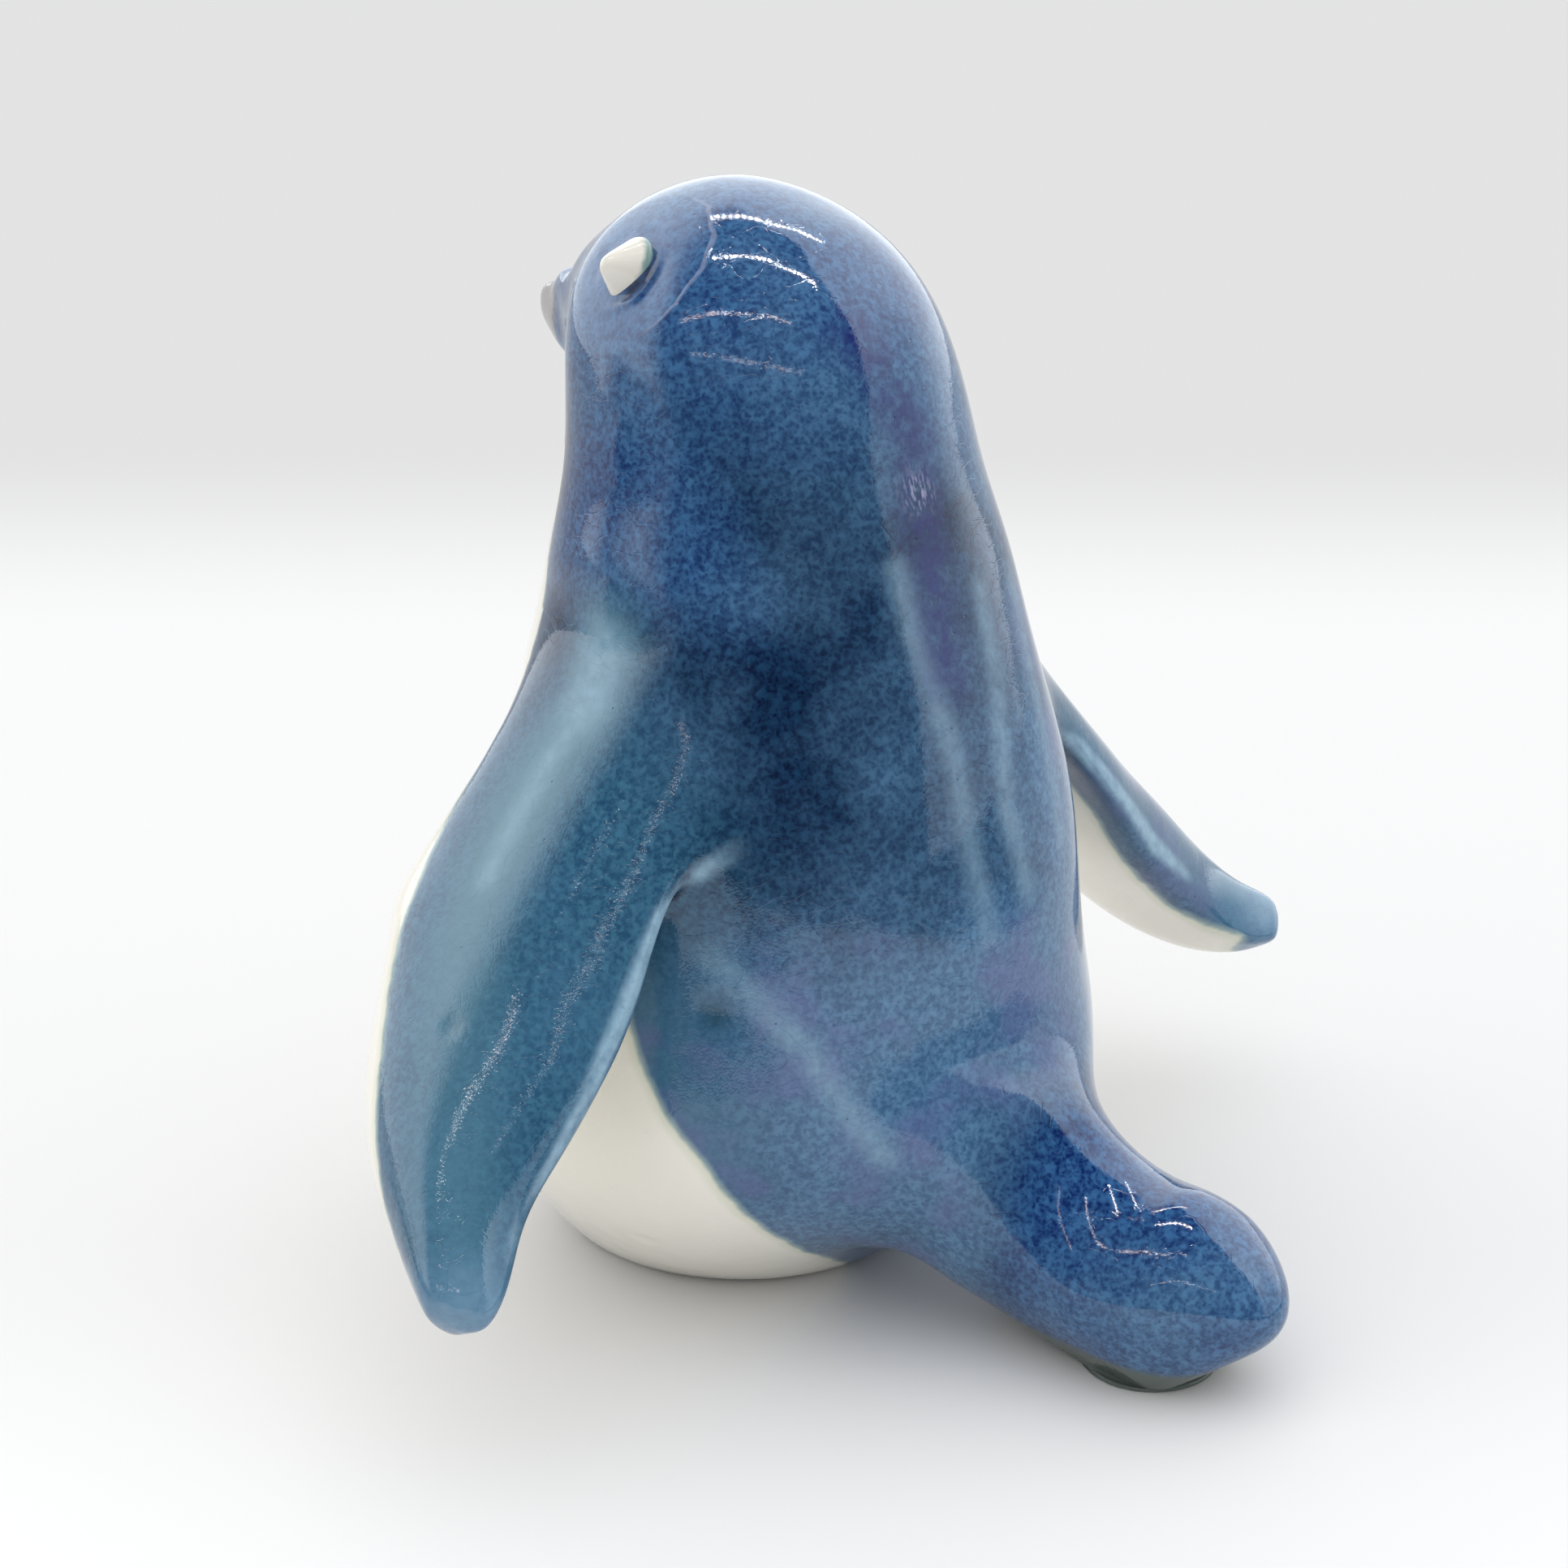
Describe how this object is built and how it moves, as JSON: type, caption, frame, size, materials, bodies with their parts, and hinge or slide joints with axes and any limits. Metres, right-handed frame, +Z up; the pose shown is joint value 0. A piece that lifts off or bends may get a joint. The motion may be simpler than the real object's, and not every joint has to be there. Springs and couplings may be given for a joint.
{
  "type": "ceramic penguin sculpture",
  "caption": "Small standing penguin figurine of glazed ceramic, wings held away from a round body, with a small beak, nub eyes and a thick tail that it also rests on.",
  "frame": {"origin": "middle of the flat spot under the belly, on the floor", "axes": "+Z up, -Y the way the penguin faces, +X towards its left wing, +Y along its tail"},
  "size_m": [0.1737, 0.1287, 0.1492],
  "materials": {
    "blue_glaze": "glossy mottled blue glaze with fine crackle over pale stoneware, cream on the breast and under the wings"
  },
  "bodies": {
    "root": {"penguin": "blue_glaze"}
  },
  "joints": []
}
